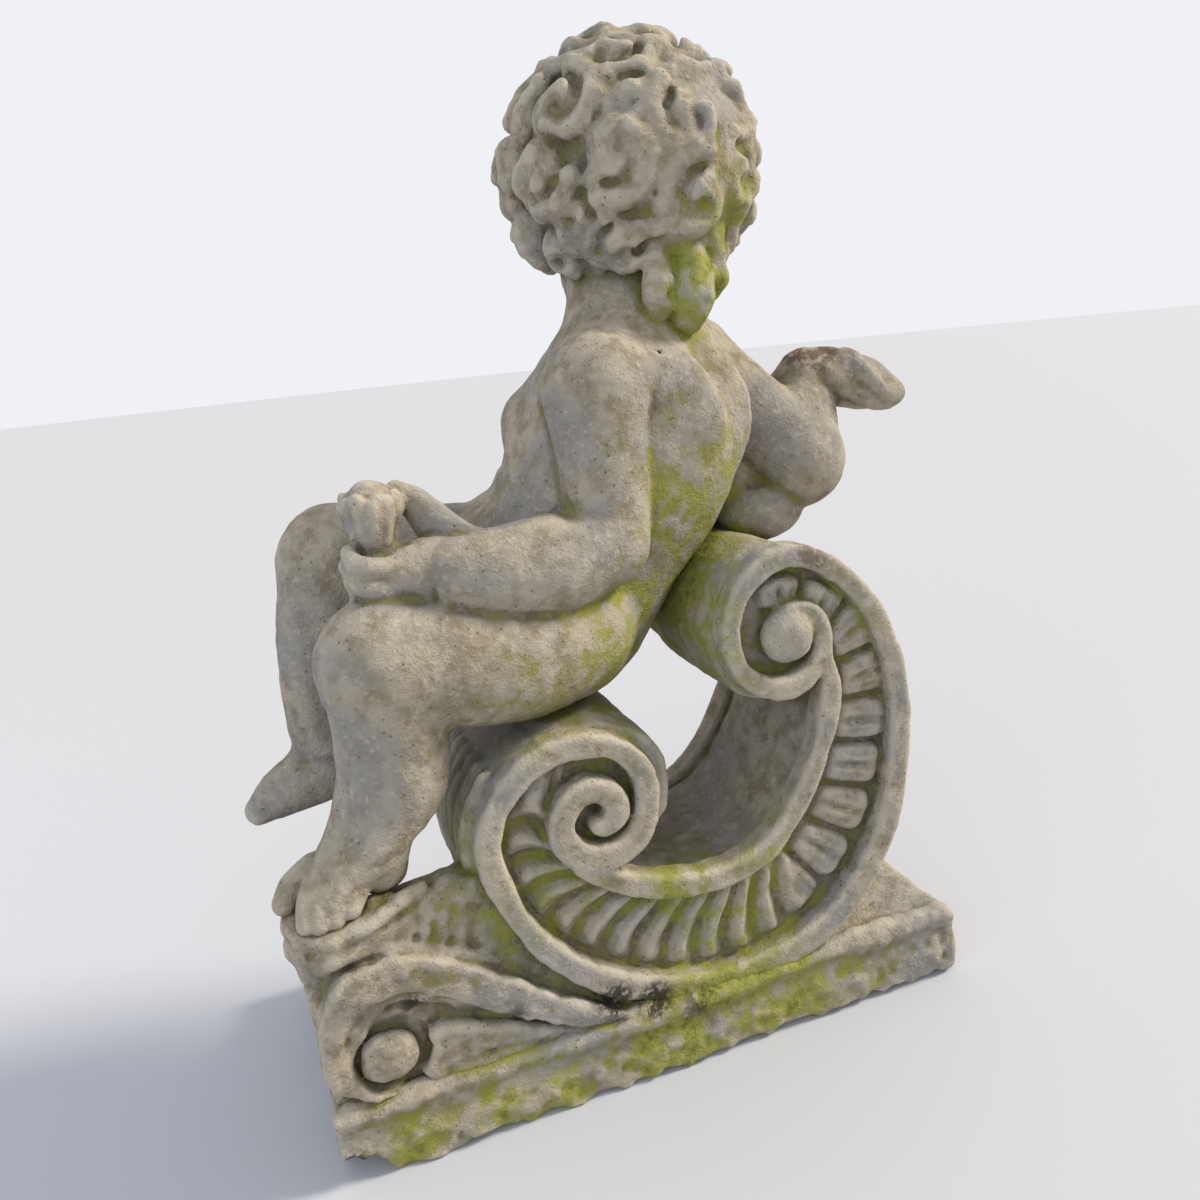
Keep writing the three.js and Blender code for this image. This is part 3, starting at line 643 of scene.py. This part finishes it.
# the drill follows once all the locks are blocked out
curls.cut(*grooves, fillet=5)
for x, y, z, r in ((82, -54, 712, 15), (112, -60, 706, 20), (138, -40, 730, 20), (150, -20, 752, 22)):
    curls.add(limb([[x + 4, y + 12, z + 34, 0.9 * r], [x, y + 2, z + 6, r], [x - 3, y + 8, z - 12, 0.8 * r]]), fillet=3)
    curls.cut(limb([[x - 6, y - r, z + 24, 2.5], [x + 5, y - r - 1, z + 6, 4.5], [x + 1, y - r + 4, z - 14, 4]]), fillet=5)
# the hairline: the curls stop round the face
curls.cut(ball(place(84, 0, -26), [60, 60, 76], TURN), fillet=8)
rub_down(curls)
weather(curls, (20, 1.4, 51), (10, 0.8, 52), (6, 0.5, 53))


# ---- Stone to mesh ----

def skin(block, name, most):
    """The carved surface as a mesh of at most so many triangles, in metres, in the row frame."""
    f = block.depth
    where, x, y, z = block.near(block.low, block.low + block.step * np.array(f.shape))
    # nothing reaches below the underside or past the block that the mason was given
    for low, high, v in zip(cad_box[0] * 1000 - OFF_MIDDLE, cad_box[1] * 1000 - OFF_MIDDLE, (x, y, z)):
        np.maximum(f, np.maximum(low + 0.2 - v, v - high + 0.2), out=f)
    f[[0, -1]], f[:, [0, -1]], f[:, :, [0, -1]] = 9, 9, 9
    inside = f < 0
    n = np.array(f.shape) - 1
    corners = [np.array([i, j, k]) for i in (0, 1) for j in (0, 1) for k in (0, 1)]
    filled = sum(inside[i:i + n[0], j:j + n[1], k:k + n[2]].astype(np.int8) for i, j, k in corners)
    cells = np.argwhere((filled > 0) & (filled < 8))
    number = np.full(n, -1, np.int64)
    number[tuple(cells.T)] = np.arange(len(cells))
    place, share = np.zeros((len(cells), 3)), np.zeros(len(cells))
    for a in corners:
        for axis in range(3):
            if a[axis]:
                continue
            b = a + np.eye(3, dtype=int)[axis]
            fa, fb = f[tuple((cells + a).T)], f[tuple((cells + b).T)]
            meets = (fa < 0) != (fb < 0)
            t = fa[meets] / (fa[meets] - fb[meets])
            place[meets] += a + t[:, None] * (b - a)
            share[meets] += 1
    points = (cells + place / share[:, None]) * block.step + block.low
    quads = []
    for axis in range(3):
        u, v = [k for k in range(3) if k != axis]
        first = np.moveaxis(inside, axis, 0)
        change = np.moveaxis(first[1:] != first[:-1], 0, axis)
        at = np.argwhere(change)
        at = at[(at[:, u] > 0) & (at[:, v] > 0)]
        du, dv = np.eye(3, dtype=int)[u], np.eye(3, dtype=int)[v]
        ring = np.stack([number[tuple((at - o).T)] for o in (du + dv, dv, 0 * du, du)], 1)
        turned = inside[tuple(at.T)] ^ (axis == 1)
        quads.append(np.where(turned[:, None], ring, ring[:, ::-1]))
    quads = np.concatenate(quads)
    points = (points + OFF_MIDDLE) / 1000
    mesh = bpy.data.meshes.new(name)
    mesh.vertices.add(len(points))
    mesh.vertices.foreach_set("co", points.astype(np.float32).ravel())
    mesh.loops.add(quads.size)
    mesh.loops.foreach_set("vertex_index", quads.astype(np.int32).ravel())
    mesh.polygons.add(len(quads))
    mesh.polygons.foreach_set("loop_start", np.arange(0, quads.size, 4, dtype=np.int32))
    mesh.update(calc_edges=True)
    piece = bpy.data.objects.new(name, mesh)
    bpy.context.scene.collection.objects.link(piece)
    piece.select_set(True)
    bpy.context.view_layer.objects.active = piece
    if len(quads) * 2 > most:
        bpy.ops.object.modifier_add(type="DECIMATE")
        piece.modifiers[-1].ratio = most / (len(quads) * 2)
        bpy.ops.object.modifier_apply(modifier=piece.modifiers[-1].name)
    bpy.ops.object.shade_smooth()
    piece.select_set(False)
    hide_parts("stone_putto_statue")
    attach(piece, "root")
    return piece


pieces = [skin(plinth, "plinth", 150000), skin(mound, "mound", 150000), skin(scroll, "c_scroll", 195000),
          skin(child, "child", 195000), skin(curls, "curls", 195000)]


# ---- Weather, and painted shade ----
# Years outdoors: dirt and moss sit where the carving is hollow and where rain lingers, and the hollows also
# get painted shade. Brown and black lichens hold on to the arm that leans on the scroll, and round the support
# under the right elbow the black is painted shade as well. Each is kept as a number at every point of the skin.

COARSE = 4.0
whole = Block([-384, -176, -28], [412, 180, 984], COARSE)
for block in (plinth, mound, scroll, child, curls):
    lines = [np.arange(block.depth.shape[k]) * block.step + block.low[k] for k in range(3)]
    near = [np.round((whole.low[k] + COARSE * np.arange(whole.depth.shape[k]) - block.low[k]) / block.step).astype(int)
            for k in range(3)]
    kept = [(v >= 0) & (v < block.depth.shape[k]) for k, v in enumerate(near)]
    here = np.ix_(*[np.nonzero(k)[0] for k in kept])
    there = np.ix_(*[v[k] for v, k in zip(near, kept)])
    whole.depth[here] = np.minimum(whole.depth[here], block.depth[there])


def spread(field, width):
    """The average over a cube of that many samples."""
    for axis in range(3):
        f = np.moveaxis(field, axis, 0)
        pad = np.concatenate([f[:1]] * (width // 2 + 1) + [f] + [f[-1:]] * (width // 2))
        total = np.cumsum(pad, axis=0, dtype=np.float64)
        field = np.moveaxis((total[width:] - total[:-width]) / width, 0, axis)
    return field.astype(np.float32)


stone = np.clip(0.5 - whole.depth / COARSE, 0, 1)
close, wide = spread(spread(stone, 3), 3), spread(spread(stone, 9), 7)


def sample(field, points):
    """The field's value at points in mm."""
    p = np.clip((points - whole.low) / COARSE, 0, np.array(field.shape) - 1.001)
    i = p.astype(int)
    t = p - i
    value = 0
    for c in np.ndindex(2, 2, 2):
        w = np.prod(np.where(np.array(c), t, 1 - t), axis=1)
        value = value + w * field[tuple((i + c).T)]
    return value


MOSS = [
    [100, -60, 520, 110, 0.7], [30, -90, 410, 110, 0.8], [110, -40, 440, 80, 1.0], [96, 20, 446, 90, 1.0],
    [122, -60, 716, 60, 0.9], [150, -50, 770, 70, 0.6], [-100, -120, 392, 70, 0.5], [-20, -60, 346, 80, 0.6],
    [20, -146, 190, 60, 0.8], [110, -146, 204, 60, 0.5], [60, -140, 108, 90, 0.6], [-96, -140, 210, 70, 0.5],
    [0, -152, 20, 90, 0.7], [110, -152, 40, 90, 0.7], [-150, -152, 14, 90, 0.6], [40, -150, 72, 60, 0.8],
    [-170, -90, 246, 80, 0.5], [222, -140, 420, 90, 0.3], [-266, -150, 10, 60, 0.6], [200, -152, 30, 60, 0.4],
    [60, 100, 430, 100, 0.6], [-60, 90, 80, 130, 0.6], [150, 60, 90, 120, 0.6], [140, 60, 440, 100, 0.7],
    [60, 150, 30, 160, 0.6], [-200, 100, 100, 90, 0.5],
]
LICHEN = [
    [206, 62, 622, 60, 0.8], [290, 46, 652, 56, 0.9], [256, 0, 520, 52, 0.5], [198, 20, 486, 60, 0.7],
    [320, 36, 636, 40, 0.7], [170, -146, 476, 50, 0.5], [240, -146, 430, 50, 0.4], [250, 0, 480, 80, 0.4],
]
# black lichen; the patches at x 150 and 176, round the support under the right elbow, are black growth and painted
# shade
BLACK_LICHEN_AND_SHADE = [
    [-240, -146, 146, 22, 1.0], [-150, -146, 118, 22, 0.5], [-60, -140, 96, 34, 0.7], [20, -148, 66, 40, 0.5],
    [374, 2, 598, 18, 0.6], [-312, -150, 12, 34, 0.8], [150, 20, 484, 44, 0.6], [10, -60, 210, 60, 0.3],
    [-20, -148, 84, 30, 0.7], [176, 60, 560, 40, 0.4],
]


def keep(piece, name, values):
    piece.data.attributes.new(name, "FLOAT", "POINT").data.foreach_set("value", values.astype(np.float32))


for piece in pieces:
    points = np.zeros(len(piece.data.vertices) * 3, np.float32)
    piece.data.vertices.foreach_get("co", points)
    points = points.reshape(-1, 3) * 1000 - OFF_MIDDLE
    # more than half stone round a point means a hollow, and less means an edge
    keep(piece, "hollow", sample(close, points) - 0.5)
    keep(piece, "shelter", sample(wide, points) - 0.5)
    for name, patches in (("moss", MOSS), ("lichen", LICHEN), ("soot", BLACK_LICHEN_AND_SHADE)):
        value = 0
        for px, py, pz, r, strength in patches:
            far = np.linalg.norm(points - [px, py, pz], axis=1) / r
            value = np.maximum(value, strength * np.exp(-far * far * 1.4))
        keep(piece, name, value)


# ---- Limestone ----
# A soft oolitic limestone, carved with claw chisels and rasps and then weathered: matt, chalky and pitted,
# cream where the rain washes it, grey-brown with dirt and painted shade in the hollows, and green, brown or
# black where things grow, the black round the support under the right elbow being painted shade too.

def colour(hex_value):
    """An sRGB hex colour as linear red, green, blue and alpha."""
    parts = [int(hex_value[i:i + 2], 16) / 255 for i in (1, 3, 5)]
    return [c / 12.92 if c <= 0.04045 else ((c + 0.055) / 1.055) ** 2.4 for c in parts] + [1]


limestone = bpy.data.materials.new("weathered limestone")
limestone.use_nodes = True
tree = limestone.node_tree
shader = tree.nodes["Principled BSDF"]


def node(kind, inputs, **settings):
    """Adds a node with its settings, and links or sets its inputs."""
    new = tree.nodes.new("ShaderNode" + kind)
    for name, value in settings.items():
        setattr(new, name, value)
    for name, value in inputs.items():
        if isinstance(value, bpy.types.NodeSocket):
            tree.links.new(value, new.inputs[name])
        else:
            new.inputs[name].default_value = value
    return new


where = node("TexCoord", {}).outputs["Object"]


def mottle(size_mm, detail=3, rough=0.55):
    """Soft patches of that size."""
    return node("TexNoise", {"Vector": where, "Scale": 1000 / size_mm, "Detail": detail, "Roughness": rough}).outputs[0]


def ramp(value, low, high, to_low=0.0, to_high=1.0):
    return node("MapRange", {"Value": value, "From Min": low, "From Max": high, "To Min": to_low, "To Max": to_high},
                interpolation_type="SMOOTHSTEP").outputs[0]


def maths(operation, a, b):
    return node("Math", {0: a, 1: b}, operation=operation).outputs[0]


def over(below, above, share):
    """Paints one colour over another, by a share from 0 to 1."""
    return node("Mix", {0: share, 6: below, 7: above}, data_type="RGBA").outputs[2]


def kept(name):
    return node("Attribute", {}, attribute_name=name).outputs["Fac"]


hollow, shelter = kept("hollow"), kept("shelter")
fine, small, patchy, broad = mottle(2.2, 2), mottle(6, 4, 0.6), mottle(22, 5, 0.6), mottle(90, 3)
tone = over(colour("#9c9382"), colour("#7e745f"), ramp(patchy, 0.38, 0.66))
tone = over(tone, colour("#7f7f7e"), ramp(broad, 0.42, 0.62, 0, 0.6))
tone = over(tone, colour("#b0a795"), ramp(small, 0.52, 0.72, 0, 0.55))
tone = over(tone, colour("#b5ad9c"), ramp(hollow, -0.03, -0.14, 0, 0.5))
# painted shade and dirt: the hollows of the carving are darkened, and more broadly the sheltered places; pits of 2 to 4
# mm hold dirt anywhere
tone = over(tone, colour("#544b3c"), maths("MULTIPLY", ramp(hollow, 0.02, 0.13), ramp(small, 0.3, 0.6, 0.4, 0.9)))
tone = over(tone, colour("#635c50"), maths("MULTIPLY", ramp(shelter, 0.0, 0.24), ramp(patchy, 0.35, 0.6, 0.1, 0.6)))
pits = node("TexVoronoi", {"Vector": where, "Scale": 1000 / 5.5, "Randomness": 1.0}).outputs["Distance"]
pitted = maths("MULTIPLY", ramp(pits, 0.22, 0.06), ramp(mottle(11, 3), 0.48, 0.62))
tone = over(tone, colour("#4a4236"), maths("MULTIPLY", pitted, 0.35))
# moss: thin yellow-green film with thicker tufts
film = maths("ADD", kept("moss"), maths("MULTIPLY", ramp(hollow, -0.02, 0.12), 0.3))
film = maths("MULTIPLY", film, ramp(patchy, 0.36, 0.62, 0.35, 1.15))
tone = over(tone, colour("#858733"), ramp(film, 0.12, 0.7, 0, 0.85))
tone = over(tone, colour("#525a22"), maths("MULTIPLY", ramp(film, 0.55, 1.0), ramp(small, 0.4, 0.65, 0, 0.8)))
brown = maths("MULTIPLY", kept("lichen"), ramp(mottle(14, 5, 0.7), 0.34, 0.58, 0.2, 1.3))
tone = over(tone, colour("#5c4630"), ramp(brown, 0.25, 0.85, 0, 0.85))
# black lichen, with painted shade round the support under the right elbow
black = maths("MULTIPLY", kept("soot"), ramp(mottle(9, 5, 0.7), 0.3, 0.55, 0.2, 1.4))
tone = over(tone, colour("#26231d"), ramp(black, 0.35, 0.8, 0, 0.9))
tree.links.new(tone, shader.inputs["Base Color"])
shader.inputs["Roughness"].default_value = 0.95
shader.inputs["IOR"].default_value = 1.5
shader.inputs["Specular IOR Level"].default_value = 0.25
relief_mm = maths("ADD", maths("MULTIPLY", fine, 0.5), maths("MULTIPLY", small, 0.9))
relief_mm = maths("SUBTRACT", relief_mm, maths("MULTIPLY", pitted, 0.7))
bump = node("Bump", {"Height": relief_mm, "Strength": 1.0, "Distance": 0.0022}).outputs[0]
tree.links.new(bump, shader.inputs["Normal"])
for piece in pieces:
    piece.data.materials.append(limestone)


# ---- Studio ----
# A pale floor, a large soft key light on the right, and a wide fill on the left.

bpy.ops.mesh.primitive_circle_add(vertices=64, radius=30, fill_type="NGON", location=(0, 0, 0))
floor = bpy.context.object
floor.name = "floor"
pale = bpy.data.materials.new("pale floor")
pale.use_nodes = True
pale.node_tree.nodes["Principled BSDF"].inputs["Base Color"].default_value = (0.43, 0.44, 0.47, 1)
pale.node_tree.nodes["Principled BSDF"].inputs["Roughness"].default_value = 0.9
floor.data.materials.append(pale)

world = bpy.context.scene.world or bpy.data.worlds.new("studio")
bpy.context.scene.world = world
world.use_nodes = True
world.node_tree.nodes["Background"].inputs[0].default_value = (0.87, 0.88, 0.92, 1)
world.node_tree.nodes["Background"].inputs[1].default_value = 1.0


def light(name, place, size, power, colour):
    bpy.ops.object.light_add(type="AREA", location=place)
    lamp = bpy.context.object
    lamp.name = name
    lamp.data.size = size
    lamp.data.energy = power
    lamp.data.color = colour
    lamp.rotation_euler = (Vector((0, 0, 0.5)) - Vector(place)).to_track_quat("-Z", "Y").to_euler()


light("fill", (-2.4, -1.6, 1.6), 2.2, 26, (0.62, 0.76, 1.0))
bpy.ops.object.light_add(type="SUN")
key = bpy.context.object
key.name = "key"
key.data.energy = 4.4
key.data.angle = np.radians(14)
key.data.color = (1.0, 0.91, 0.78)
key.rotation_euler = (-Vector((0.82, -0.12, 0.6))).to_track_quat("-Z", "Y").to_euler()

# the camera stands near the left foot, a little above the head's middle, and leans by six degrees
yaw, pitch, roll = np.radians([18.25, 15.4, 5.98])
ahead = Vector((np.sin(yaw) * np.cos(pitch), np.cos(yaw) * np.cos(pitch), -np.sin(pitch)))
right = Vector((np.cos(yaw), -np.sin(yaw), 0))
up = right.cross(ahead)
right, up = right * np.cos(roll) - up * np.sin(roll), right * np.sin(roll) + up * np.cos(roll)
bpy.ops.object.camera_add()
camera = bpy.context.object
camera.matrix_world = Matrix((
    (right.x, up.x, -ahead.x, -0.2797), (right.y, up.y, -ahead.y, -0.848),
    (right.z, up.z, -ahead.z, 0.6813), (0, 0, 0, 1)))
camera.data.sensor_width = 36
camera.data.lens = 28.07
bpy.context.scene.camera = camera
bpy.context.scene.view_settings.view_transform = "Standard"
